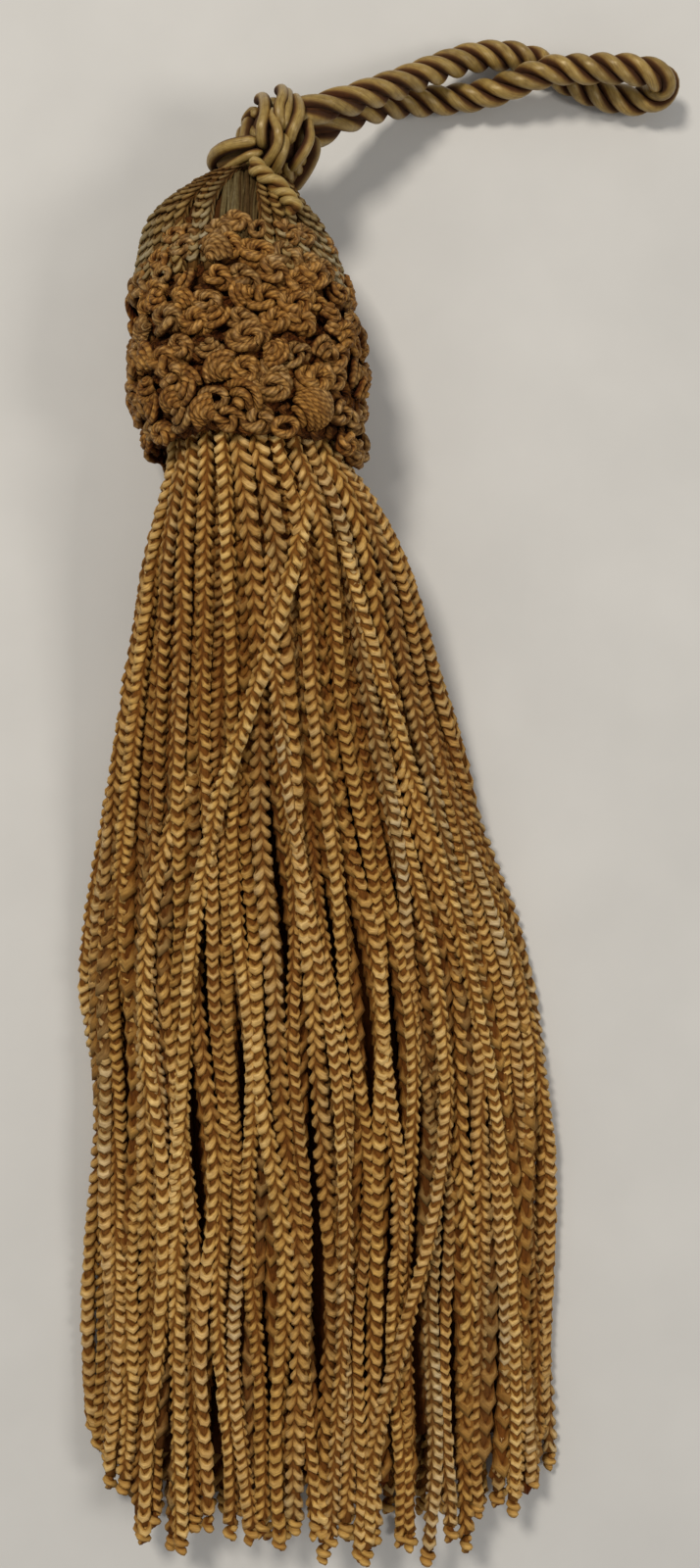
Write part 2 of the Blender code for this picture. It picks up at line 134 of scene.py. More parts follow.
# Where the arcs round the knot's underside lie across it
KNOT_UNDERSIDE = (-3.0, -2.7, -2.1, -1.1, 0.0, 1.1, 2.1, 2.7, 3.0)
TAIL_ROUTE = ((-6.4, 65.3), (-5.3, 64.0), (-4.2, 63.1), (-3.2, 61.9), (-2.5, 60.9), (-2.0, 59.8))

ROPE_PLIES = 3
# A ply's radius as a share of the rope's
PLY_SHARE = 0.43
CROWN_STRANDS = 40
# The crown's strands leave these degrees to the band of filaments, and are plainer where they are hidden
BAND_DEGREES, HIDDEN_DEGREES = (72, 97), (200, 340)
BAND_FILAMENTS = 34
BAND_SIDES = (-9.2, -5.6)
RUFF_ROWS, RUFF_FIRST, RUFF_LAST = 9, 6.6, 27.6
RUFF_RINGS = 13
# The big smooth knot: distance down, degrees round the head
BALL_DOWN, BALL_ANGLE = 25.1, 55
INNER_STRANDS = 36
FILLING_STRANDS = 21
# How much of their red, green and blue the skirt's tints keep: painted shade on the crown and the ruff, and
# a much darker band
CROWN_SHADE, BAND_DARKENING, RUFF_SHADE = (0.56, 0.62, 0.70), (0.29, 0.32, 0.32), (0.70, 0.62, 0.54)
# The least and the most golden tint in each part of the skirt
SKIRT_TINTS = {"skirt_top_left": (0.12, 0.75), "skirt_top_right": (0.0, 0.58), "skirt_under": (0.0, 0.7),
               "skirt_over": (0.2, 0.75)}

Lamp = namedtuple("Lamp", "name place size power colour")
LAMPS = (
    Lamp("key", (-0.14, 0.228, 0.468), 0.096, 1.55, (1.0, 0.95, 0.88)),
    Lamp("fill", (0.55, -0.15, 0.68), 0.22, 2.0, (1.0, 0.97, 0.93)),
)
SKY_COLOUR, SKY_STRENGTH = (0.93, 0.96, 1.0, 1.0), 0.30


# Geometry


def smooth_route(points, step):
    """Return points at even steps on a smooth curve through a route's own points."""
    nodes = np.array(points, dtype=float)
    nodes = np.vstack([2 * nodes[0] - nodes[1], nodes, 2 * nodes[-1] - nodes[-2]])
    t = np.linspace(0, 1, 16, endpoint=False)[:, None]
    runs = []
    for a, b, c, d in zip(nodes, nodes[1:], nodes[2:], nodes[3:]):
        bend = (2 * a - 5 * b + 4 * c - d) * t ** 2 + (3 * b - a - 3 * c + d) * t ** 3
        runs.append(b + 0.5 * ((c - a) * t + bend))
    dense = np.vstack(runs + [nodes[-2:-1]])
    walked = np.concatenate([[0], np.cumsum(np.linalg.norm(np.diff(dense, axis=0), axis=1))])
    even = np.linspace(0, walked[-1], max(2, int(round(walked[-1] / step)) + 1))
    return np.stack([np.interp(even, walked, dense[:, i]) for i in range(3)], axis=1)


def unit(vectors):
    """Return vectors at length one."""
    return vectors / np.maximum(np.linalg.norm(vectors, axis=-1, keepdims=True), 1e-12)


class Line:
    """A centre line with the directions across it and out of it, at any distance along."""

    def __init__(self, points, out):
        self.points = np.asarray(points, dtype=float)
        steps = np.linalg.norm(np.diff(self.points, axis=0), axis=1)
        self.walked = np.concatenate([[0], np.cumsum(steps)])
        self.length = self.walked[-1]
        ahead = unit(np.gradient(self.points, axis=0))
        self.out = unit(out - ahead * np.sum(out * ahead, axis=1, keepdims=True))
        self.across = unit(np.cross(ahead, self.out))
        self.swell = np.ones(len(self.points))
        self.shade = np.ones(len(self.points))

    def turn(self, angles):
        """Twist the directions round the line by an angle at each point."""
        c, s = np.cos(angles)[:, None], np.sin(angles)[:, None]
        self.across, self.out = self.across * c + self.out * s, self.out * c - self.across * s

    def looks(self, distance):
        """Return the swell and the shade at distances along the line."""
        return np.interp(distance, self.walked, self.swell), np.interp(distance, self.walked, self.shade)

    def taper(self, distance, over, least):
        """Return how much of its thickness a ply has near the line's two ends."""
        return np.clip(np.minimum(distance, self.length - distance) / over + least, 0, 1)

    def at(self, distance):
        """Return places, across and out directions at distances along the line."""
        found = []
        for values in (self.points, self.across, self.out):
            columns = [np.interp(distance, self.walked, values[:, i]) for i in range(3)]
            found.append(np.stack(columns, axis=-1))
        beyond = np.where(distance < 0, distance, np.maximum(distance - self.length, 0))
        ends = np.where((distance < 0)[..., None], self.points[1] - self.points[0],
                        self.points[-1] - self.points[-2])
        found[0] = found[0] + unit(ends) * beyond[..., None]
        return found[0], unit(found[1]), unit(found[2])


def leaning(first, second, angle):
    """Return directions at an angle from a first towards a second direction."""
    return first * np.cos(angle)[..., None] + second * np.sin(angle)[..., None]


def cord_line(route, step):
    """Return the line of a cord, whose out direction starts upwards and turns as little as it can."""
    points = smooth_route(route, step)
    out = np.array((0.0, 0.0, 1.0))
    carried = []
    for ahead in unit(np.gradient(points, axis=0)):
        out = unit(out - ahead * np.dot(out, ahead))
        carried.append(out)
    return Line(points, np.array(carried))


# Five corners of a yarn's section, most of them on the side that shows
HALF_ROUND = (0, 60, 120, 180, 270)


class Piece:
    """Closed tubes gathered into one mesh, with the values that the silk materials read."""

    def __init__(self):
        self.points, self.quads, self.caps = [], [], []
        # Each point also keeps its painted light and shade, dark in the creases, which the silk materials
        # read
        self.tint, self.depth, self.grain = [], [], []
        self.count = 0

    def tubes(self, paths, radii, sides, out, tint=0.5, depth=1.0, flatten=1.0, under=0.3, flank=0.55):
        """Add a tube round one path or each of many; radii and painted light fit them.

        The side that faces out keeps the painted light, the flanks have the share flank of it, and the side
        that faces in has the share under: painted shade on the flanks and underneath.
        """
        paths = np.reshape(paths, (-1, *np.shape(paths)[-2:]))
        tubes, steps = paths.shape[:2]
        ahead = unit(np.gradient(paths, axis=1))
        side = unit(np.cross(ahead, np.broadcast_to(out, paths.shape)))
        up = np.cross(side, ahead)
        angle = np.radians(HALF_ROUND) if sides == 5 else TAU * (np.arange(sides) + 0.5) / sides
        radii = np.broadcast_to(radii, (tubes, steps))[..., None, None]
        ring = side[:, :, None] * np.cos(angle)[:, None] + up[:, :, None] * np.sin(angle)[:, None] * flatten
        shape = (tubes, steps, sides)
        # Painted shade: the flanks and the inward side get less painted light than the side that faces out
        painted_facing_light = under + (1 - under) * np.clip(flank + (1.15 - flank) * np.sin(angle), 0, 1)
        run = np.concatenate([np.zeros((tubes, 1)), np.cumsum(
            np.linalg.norm(np.diff(paths, axis=1), axis=2), axis=1)], axis=1)[..., None]
        # Each yarn starts elsewhere in the grain, so that no two show the same filaments
        along = np.broadcast_to(run + self.count * 0.37 + np.arange(tubes)[:, None, None] * 7.3, shape)
        grain = np.stack([np.cos(angle) * radii[..., 0], np.sin(angle) * radii[..., 0], along], axis=-1)
        self.skin(paths[:, :, None] + ring * radii, np.reshape(tint, (-1, 1, 1)),
                  np.broadcast_to(depth, (tubes, steps))[..., None] * painted_facing_light, grain)

    def skin(self, points, tint, depth, grain=None):
        """Add closed skins through rings of points: skins x rings x points round x 3."""
        tubes, steps, sides = shape = points.shape[:3]
        first = self.count + np.arange(tubes)[:, None, None] * steps * sides
        low = first + np.arange(steps - 1)[:, None] * sides + np.arange(sides)
        high = first + np.arange(steps - 1)[:, None] * sides + (np.arange(sides) + 1) % sides
        self.quads.append(np.stack([low, high, high + sides, low + sides], axis=-1).reshape(-1, 4))
        start = first[:, 0] + np.arange(sides)[::-1]
        end = first[:, 0] + (steps - 1) * sides + np.arange(sides)
        self.caps.extend([*start.tolist(), *end.tolist()])
        self.points.append(points.reshape(-1, 3))
        self.tint.append(np.broadcast_to(tint, shape).reshape(-1))
        self.depth.append(np.broadcast_to(depth, shape).reshape(-1))
        self.grain.append((points if grain is None else grain).reshape(-1, 3))
        self.count += tubes * steps * sides

    def finish(self, name, material, slot, *nodes):
        """Make the mesh object, which rides with the tassel and stands for its nodes, and return it."""
        points = np.concatenate(self.points) * MM
        points[:, 2] = np.maximum(points[:, 2], LEAST_HEIGHT)
        quads = np.concatenate(self.quads)
        corners = np.concatenate([quads.reshape(-1), *self.caps])
        sizes = np.concatenate([np.full(len(quads), 4), [len(cap) for cap in self.caps]])
        mesh = bpy.data.meshes.new(name)
        mesh.vertices.add(len(points))
        mesh.vertices.foreach_set("co", points.astype(np.float32).reshape(-1))
        mesh.loops.add(len(corners))
        mesh.loops.foreach_set("vertex_index", corners.astype(np.int32))
        mesh.polygons.add(len(sizes))
        starts = np.concatenate([[0], np.cumsum(sizes)[:-1]])
        mesh.polygons.foreach_set("loop_start", starts.astype(np.int32))
        mesh.polygons.foreach_set("use_smooth", np.ones(len(sizes), dtype=bool))
        for label, kind, key, values in (("tint", "FLOAT", "value", self.tint),
                                         ("depth", "FLOAT", "value", self.depth),
                                         ("grain", "FLOAT_VECTOR", "vector", self.grain)):
            layer = mesh.attributes.new(label, kind, "POINT")
            layer.data.foreach_set(key, np.concatenate(values).astype(np.float32).reshape(-1))
        mesh.materials.append(material)
        mesh.update(calc_edges=True)
        mesh.validate()
        obj = bpy.data.objects.new(name, mesh)
        bpy.context.collection.objects.link(obj)
        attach(obj, "root")
        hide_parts(*nodes)
        return obj


# Chained strands

# One chain stitch as a V of yarn: degrees round the strand, along in stitches, out in half widths,
# thickness, and painted light, with painted shade where the legs start by the hole
Bend = namedtuple("Bend", "turn along out thick lit")


def both_legs(*leg):
    """Return a stitch from one leg of its V, which ends at the V's tip."""
    return leg + tuple(bend._replace(turn=-bend.turn) for bend in leg[-2::-1])


STITCH = both_legs(Bend(-87, 0.68, 0.44, 0.50, 0.35), Bend(-64, 0.27, 0.58, 0.88, 0.75),
                   Bend(-33, -0.05, 0.65, 1.12, 0.95), Bend(0, -0.17, 0.68, 1.22, 1.00))
PLAIN_STITCH = both_legs(Bend(-86, 0.66, 0.46, 0.55, 0.4), Bend(-47, 0.08, 0.62, 1.06, 0.9),
                         Bend(0, -0.20, 0.67, 1.22, 1.0))
# A strand's half width, stitch length, yarn radius in half widths, sides of the yarn's section, shift
# between its two columns in stitches, painted light on its dark core, and stitch
COLUMNS = 2
Chain = namedtuple("Chain", "half pitch yarn sides lag hollow stitch")


def add_chain(piece, line, rng, tint, chain):
    """Add one chained strand: columns of V stitches round a thin core."""
    table = np.array(chain.stitch)
    count = max(1, int(line.length / chain.pitch))
    start = rng.uniform(0, TAU, 2)
    for column in range(COLUMNS):
        lag = column * chain.lag
        scale = 1 + 0.08 * rng.standard_normal((count, 1))
        slip = 0.06 * rng.standard_normal((count, 1))
        distance = (np.arange(count)[:, None] + 0.3 + lag + slip - table[:, 1]) * chain.pitch
        distance = np.clip(distance, 0.0, line.length)
        place, across, out = line.at(distance)
        swell, shade = line.looks(distance)
        half = swell * chain.half
        angle = np.radians(table[:, 0]) + TAU * column / COLUMNS
        angle = angle + 0.12 * rng.standard_normal((count, 1))
        lean = leaning(out, across, angle)
        paths = place + lean * (table[:, 2] * half * (0.6 + 0.4 * scale))[..., None]
        walked = distance[:, 0]
        drift = 0.10 * np.sin(walked / 4.1 + start[0]) + 0.14 * np.sin(walked / 11.0 + start[1])
        piece.tubes(paths, table[:, 3] * chain.yarn * half * scale, chain.sides, lean,
                    tint=np.clip(tint + drift + 0.05 * rng.standard_normal(count), 0, 0.75),
                    depth=table[:, 4] * shade * (1 + 0.07 * rng.standard_normal((count, 1))), flatten=0.8,
                    under=0.0, flank=0.45)
    # The core is a dark tube under the stitches: painted shade that shows between them
    steps = max(3, int(line.length / 2.2))
    distance = np.linspace(0, line.length - chain.pitch * 0.6, steps)[None]
    place, across, out = line.at(distance)
    swell, shade = line.looks(distance)
    piece.tubes(place, swell * chain.half * 0.62, 7, out, tint=tint, depth=chain.hollow * shade, under=1.0)


def add_knob(piece, line, rng, half):
    """Add a strand's tied end: yarn wound round it into a small ball."""
    t = np.linspace(0, 1, 22)
    place, across, out = line.at(line.length - 0.5 + rng.uniform(1.2, 1.7) * t)
    angle = t * TAU * rng.uniform(1.2, 2.0) + rng.uniform(0, TAU)
    lean = leaning(across, out, angle)
    reach = half * rng.uniform(0.40, 0.56) * np.sin(math.pi * (0.12 + 0.8 * t)) ** 0.5
    points = place + lean * reach[:, None]
    points[:, 2] = np.maximum(points[:, 2], 0.35)
    rough = 1 + 0.2 * np.sin(t * 17 + rng.uniform(0, TAU))
    # Painted light: the thicker turns are lighter, and the tube inside is darker as painted shade
    piece.tubes(points, half * 0.44 * rough, 6, lean, tint=rng.uniform(0.5, 1.0), depth=0.5 + 0.25 * rough,
                flank=0.1)
    piece.tubes(place, half * 0.5 * np.sin(math.pi * (0.1 + 0.8 * t)), 6, out, tint=0.9, depth=0.4)


# Skirt


def smooth_rows(rows, below):
    """Return a table's columns at distances below the rim, on smooth curves through its rows."""
    table = np.array(rows)
    x, values = table[:, 0], table[:, 1:]
    slopes = np.gradient(values, x, axis=0)
    i = np.clip(np.searchsorted(x, below) - 1, 0, len(x) - 2)
    span = (x[i + 1] - x[i])[:, None]
    t = np.clip((below - x[i])[:, None] / span, 0, 1)
    a, b = values[i], values[i + 1]
    ma, mb = slopes[i] * span, slopes[i + 1] * span
    return (2 * t ** 3 - 3 * t ** 2 + 1) * a + (t ** 3 - 2 * t ** 2 + t) * ma \
        + (3 * t ** 2 - 2 * t ** 3) * b + (t ** 3 - t ** 2) * mb


class Envelope:
    """The skirt's outside: closed sections at many distances, read by share of their length."""

    STATIONS = 90
    SAMPLES = 720

    def __init__(self, inset):
        self.below = np.linspace(SKIRT_SECTIONS[0][0], SKIRT_SECTIONS[-1][0], self.STATIONS)
        middle, half, crest, under, side = smooth_rows(SKIRT_SECTIONS, self.below).T
        top, bottom, half = crest - inset, np.maximum(under, 0) + inset, half - inset
        side = np.minimum(np.maximum(side, bottom), (top + bottom) / 2)
        angle = TAU / 4 - np.linspace(0, TAU, self.SAMPLES + 1)
        reach = np.where(np.sin(angle) > 0, (top - side)[:, None], (side - bottom)[:, None])
        x = middle[:, None] + half[:, None] * np.cos(angle)
        z = side[:, None] + reach * np.sin(angle)
        steps = np.hypot(np.diff(x, axis=1), np.diff(z, axis=1))
        walked = np.concatenate([np.zeros((self.STATIONS, 1)), np.cumsum(steps, axis=1)], axis=1)
        share = np.linspace(0, 1, self.SAMPLES + 1)
        self.x = np.array([np.interp(share * w[-1], w, row) for w, row in zip(walked, x)])
        self.z = np.array([np.interp(share * w[-1], w, row) for w, row in zip(walked, z)])
        self.around = walked[:, -1]

    def read(self, grid, below, share):
        """Return a grid's values at distances and shares, in straight lines between samples."""
        i = np.clip((below - self.below[0]) / (self.below[1] - self.below[0]), 0, self.STATIONS - 1.001)
        j = (share % 1.0) * self.SAMPLES
        low_i, low_j = i.astype(int), np.minimum(j.astype(int), self.SAMPLES - 1)
        u, v = i - low_i, j - low_j
        near = grid[low_i, low_j] * (1 - v) + grid[low_i, low_j + 1] * v
        far = grid[low_i + 1, low_j] * (1 - v) + grid[low_i + 1, low_j + 1] * v
        return near * (1 - u) + far * u

    def place(self, below, share):
        """Return the place and the outward direction at distances and shares."""
        steps = (-0.004, 0, 0.004)
        (back_x, x, on_x), (back_z, z, on_z) = [
            [self.read(grid, below, share + step) for step in steps] for grid in (self.x, self.z)]
        dx, dz = on_x - back_x, on_z - back_z
        out = unit(np.stack([-dz, np.zeros_like(dx), dx], axis=-1))
        return np.stack([x, RIM - below, z], axis=-1), out


def clump(share, below, waves):
    """Return how far strands drift together at a share of the way round and a distance down."""
    return sum(size * np.sin(TAU * (around * share + below / long) + start) / around
               for size, around, long, start in waves)


PARTING_WIDTH, PARTING_REACH = 1.5, 0.09
# Where the outermost strand of each side stands apart: share round, distance below the rim, reach
SIDE_PARTINGS = ((0.25, 73.0, 14.0), (0.75, 88.0, 20.0))


def skirt_lines(sizes, rng):
    """Return the outer strands' lines: every second one starts deeper and comes up between."""
    count = sizes.outer_strands
    half = sizes.strand_width / MM / 2
    envelope = Envelope(half * 0.85)
    waves = [(rng.uniform(0.03, 0.06), around, rng.uniform(60, 150) * rng.choice((-1, 1)),
              rng.uniform(0, TAU)) for around in (3, 5, 8, 13, 19)]
    lines = []
    for index in range(count):
        share = (index + 0.5) / count
        length = sizes.strand_length / MM + rng.uniform(-2.0, 1.6)
        length -= 8.0 * abs(math.sin(TAU * share)) ** 12
        below = np.arange(-3.5, length, 0.8)
        free = np.clip(below / 40.0, 0, 1)
        drift = sum(rng.uniform(0.4, 1.0) * np.sin(below * TAU / wave + rng.uniform(0, TAU))
                    for wave in (110.0, 61.0, 33.0))
        share_at = share + free * (0.26 * drift / count + clump(share, below, waves) * 0.20)
        for side, near, wide in SIDE_PARTINGS:
            away = share - side
            if 0.4 / count < abs(away) < PARTING_REACH:
                gap = PARTING_WIDTH / envelope.around[-1] * np.exp(-((below - near) / wide) ** 2)
                share_at = share_at + math.copysign(1, away) * gap * (1 - abs(away) / PARTING_REACH)
        where, out = envelope.place(below, share_at)
        sunk = 1.55 * (index % 2) * np.clip(1 - below / 60.0, 0, 1) ** 0.8
        sunk = sunk + 0.55 * free * (1 + np.sin(below * TAU / rng.uniform(45, 90) + rng.uniform(0, TAU)))
        where = where - out * sunk[:, None]
        where[:, 2] = np.maximum(where[:, 2], half * 0.8)
        line = Line(where, out)
        line.shade = (1 - 0.26 * sunk) * (1 - 0.18 * np.exp(-((below - 18) / 16) ** 2))
        line.turn(rng.uniform(0, TAU) + rng.uniform(0.3, 1.6) * np.sin(
            below * TAU / rng.uniform(60, 130) + rng.uniform(0, TAU)))
        lines.append((share, line))
    return lines


# Strands that cross over the others: distance below the rim, place across, and lift
WANDERERS = (
    ((0.0, 0.2, -1.6), (6.0, -1.0, -0.2), (14.0, -3.0, 0.5), (24.0, -6.2, 0.7), (34.0, -9.6, 0.7),
     (46.0, -12.2, 0.5), (62.0, -13.6, 0.3), (84.0, -14.4, 0.2), (110.0, -14.0, 0.0)),
    ((24.0, 6.0, -1.8), (36.0, 8.4, -0.4), (50.0, 11.4, 0.3), (64.0, 12.8, 0.6), (76.0, 11.6, 0.7),
     (88.0, 8.6, 0.7), (100.0, 5.6, 0.4), (110.5, 4.8, 0.1)),
    ((4.0, -4.0, -1.6), (16.0, -4.4, 0.1), (30.0, -3.2, 0.5), (44.0, -1.0, 0.4), (60.0, 1.6, 0.3),
     (80.0, 2.8, 0.4), (96.0, 2.0, 0.3), (109.0, 1.2, 0.0)),
    ((2.0, 1.8, -1.6), (14.0, 3.8, 0.2), (28.0, 8.0, 0.5), (42.0, 12.6, 0.4), (58.0, 16.6, 0.4),
     (76.0, 19.2, 0.3), (94.0, 20.2, 0.2), (107.0, 20.0, 0.0)),
    ((30.0, -13.0, -1.6), (44.0, -16.8, 0.1), (58.0, -17.4, 0.5), (72.0, -15.8, 0.6), (86.0, -15.9, 0.4),
     (100.0, -17.4, 0.3), (110.0, -18.0, 0.0)),
)


def wandering_lines(sizes, rng):
    """Return the lines of the strands that cross over others on top."""
    envelope = Envelope(sizes.strand_width / MM / 2 * 0.85)
    lines = []
    for route in WANDERERS:
        table = np.array(route)
        below = np.arange(table[0, 0], table[-1, 0], 0.8)
        x, lift = smooth_rows(table, below).T
        shares = np.linspace(-0.24, 0.24, 97)
        share = np.array([np.interp(a, envelope.read(envelope.x, np.full(97, b), shares), shares)
                          for a, b in zip(x, below)])
        where, out = envelope.place(below, share)
        line = Line(where + out * lift[:, None], out)
        line.turn(rng.uniform(0, TAU) + 1.0 * np.sin(below / 14 + rng.uniform(0, TAU)))
        lines.append(line)
    return lines


def inner_lines(sizes, rng):
    """Return the lines of the strands that the outer ones hide."""
    envelope = Envelope(2.5)
    lines = []
    for index in range(INNER_STRANDS):
        below = np.arange(-3.0, sizes.strand_length / MM + rng.uniform(-7.0, -1.5), 1.5)
        drift = 0.3 * np.sin(below * TAU / 60 + rng.uniform(0, TAU)) / INNER_STRANDS
        where, out = envelope.place(below, (index + 0.5) / INNER_STRANDS + drift)
        where[:, 2] = np.maximum(where[:, 2], 1.0)
        lines.append(Line(where, out))
    return lines


# Head


def head_section(turns, down):
    """Return the radius and the middle of a surface round the head's axis."""
    radius, shift = [np.interp(down, turns[:, 0], turns[:, i]) for i in (1, 2)]
    return radius, RIM_MIDDLE - HEAD_LEAN * (CROWN_TOP - down - RIM) + shift


def head_place(turns, down, angle):
    """Return places on a surface round the head's axis."""
    down, angle = np.broadcast_arrays(down, angle)
    radius, middle = head_section(turns, down)
    x, z = middle + radius * np.cos(angle), HEAD_HEIGHT + radius * np.sin(angle)
    return np.stack([x, CROWN_TOP - down, z], axis=-1)


def over_head(turns, down, angle, lift):
    """Return places at a height over a surface round the head's axis, and the directions out of it."""
    step, turn = 0.3, 0.02
    along = head_place(turns, down + step, angle) - head_place(turns, down - step, angle)
    around = head_place(turns, down, angle + turn) - head_place(turns, down, angle - turn)
    out = unit(np.cross(around, along))
    return head_place(turns, down, angle) + out * lift, out


def add_head_core(piece, turns, reach, rings, inset, tint, depth):
    """Add the dark skin that fills the head under its strands or knots, as painted shade in the gaps."""
    down = np.linspace(*reach, rings)[:, None]
    around = np.linspace(0, TAU, 48, endpoint=False)[None]
    piece.skin(over_head(turns, down, around, -inset)[0][None], tint, depth)


def knot_place(down, angle, lift):
    """Return a knot's centre and its directions out, round and along the head."""
    centre, out = over_head(RUFF_TURNS, down, angle, lift)
    around = unit(np.cross(out, (0.0, -1.0, 0.0)))
    return centre, out, around, np.cross(out, around)


def add_wound_lump(piece, rng, down, angle, size, tint):
    """Add one small knot: smooth yarn that goes over and under itself into an oval lump."""
    centre, out, around, along = knot_place(down, angle, rng.uniform(-1.3, -0.7))
    rounds, overs = rng.choice(((1, 0), (2, 3), (2, 3), (3, 2), (2, 5), (3, 4)))
    t = np.linspace(0, TAU, 14 + 16 * rounds)
    rise = overs * t + rng.uniform(0, TAU)
    reach = size * 0.66 * (1 + 0.42 * np.cos(rise) * (overs > 0))
    spin = rounds * t + rng.uniform(0, TAU)
    lean = rng.normal(0.0, 0.4)
    wide = rng.uniform(1.15, 1.5)
    x, y = reach * wide * np.cos(spin), reach * 0.9 * np.sin(spin)
    u, v = x * math.cos(lean) - y * math.sin(lean), x * math.sin(lean) + y * math.cos(lean)
    z = size * (0.40 * np.sin(rise) - 0.10 * (u ** 2 + v ** 2))
    points = centre + around * u[:, None] + along * v[:, None] + out * z[:, None]
    outward = unit(out + 0.5 * unit(points - centre + out * 0.2))
    lobes = np.sin(spin * rng.uniform(3.0, 4.5))
    rough = rng.uniform(0.03, 0.16)
    # Painted light: higher turns and swollen lobes lighter, the parts between darker as painted shade
    piece.tubes(points, size * rng.uniform(0.32, 0.40) * (1 + rough * lobes), 6, outward, tint=tint,
                depth=0.66 + 0.2 * np.sin(rise) + 1.2 * rough * lobes, under=0.0, flank=0.15)


def add_shell(piece, rng, down, angle, size, tint):
    """Add one small knot: short bows of yarn side by side, like a shell."""
    centre, out, around, along = knot_place(down, angle, rng.uniform(-1.5, -1.0))
    spin = rng.uniform(0, TAU)
    first = around * math.cos(spin) + along * math.sin(spin)
    second = np.cross(out, first)
    centre = centre - first * size * 0.8
    t = np.linspace(-1.1, 1.1, 11)
    bows = rng.integers(3, 5)
    for bow in range(bows):
        share = (bow + 0.4) / bows
        reach = size * 2.0 * share
        dome = size * 0.85 * math.sqrt(max(1 - (1.6 * share - 0.8) ** 2, 0.1))
        points = centre + reach * (first * np.cos(t)[:, None] + second * 0.85 * np.sin(t)[:, None])
        points = points + out * (dome * np.cos(t * 1.2))[:, None]
        lobes = np.sin(t * rng.uniform(3.0, 5.0) + rng.uniform(0, TAU))
        # Painted light: each bow's lobes lighter, with painted shade between them
        piece.tubes(points, size * 0.33 * (1 + 0.08 * lobes), 6, out, tint=tint + rng.uniform(-0.08, 0.08),
                    depth=0.74 + 0.14 * lobes, under=0.0, flank=0.15)


def add_ball(piece, down, angle, size, tint):
    """Add the big smooth knot: yarn wound side by side into a flattened ball."""
    centre, out, around, along = knot_place(down, angle, -size * 0.75)
    first = unit(around + 0.7 * along)
    second = np.cross(out, first)
    t = np.linspace(-1.45, 1.45, 14)
    for row in np.linspace(-0.9, 0.9, 8):
        reach = math.sqrt(1 - row * row)
        points = centre + size * (first * row + second * (reach * np.sin(t) * 0.98)[:, None]
                                  + out * (reach * np.cos(t) * 0.85)[:, None])
        # Painted light: the ball gets lighter row by row towards one side
        piece.tubes(points, size * 0.19, 8, out, tint=tint * (1 - row), depth=0.72 + 0.12 * row, flank=0.5)


# Materials


def new_material(name):
    """Return a material and the maker of its nodes, which links sockets and sets other values."""
    material = bpy.data.materials.new(name)
    material.use_nodes = True
    tree = material.node_tree
    tree.nodes.clear()

    def node(kind, **values):
        made = tree.nodes.new(kind)
        for key, value in values.items():
            if isinstance(value, bpy.types.NodeSocket):
                tree.links.new(value, made.inputs[key])
            elif key in made.inputs.keys():
                made.inputs[key].default_value = value
            else:
                setattr(made, key, value)
        return made

    return material, node


def add_shader(node, colour, **values):
    """End a material with its shader."""
    shader = node("ShaderNodeBsdfPrincipled", **{"Base Color": colour}, **values)
    node("ShaderNodeOutputMaterial", Surface=shader.outputs["BSDF"])


def ramp(node, factor, *stops):
    """Return a colour ramp with the stops given, fed by a factor."""
    made = node("ShaderNodeValToRGB", Fac=factor)
    while len(made.color_ramp.elements) < len(stops):
        made.color_ramp.elements.new(0.5)
    for element, (place, colour) in zip(made.color_ramp.elements, stops):
        element.position = place
        element.color = (*colour, 1.0)
    return made.outputs["Color"]


def multiplied(node, first, second, amount=1.0):
    """Return a colour multiplied by another, by the amount given."""
    made = node("ShaderNodeMixRGB", blend_type="MULTIPLY", Fac=amount, Color1=first, Color2=second)
    return made.outputs["Color"]


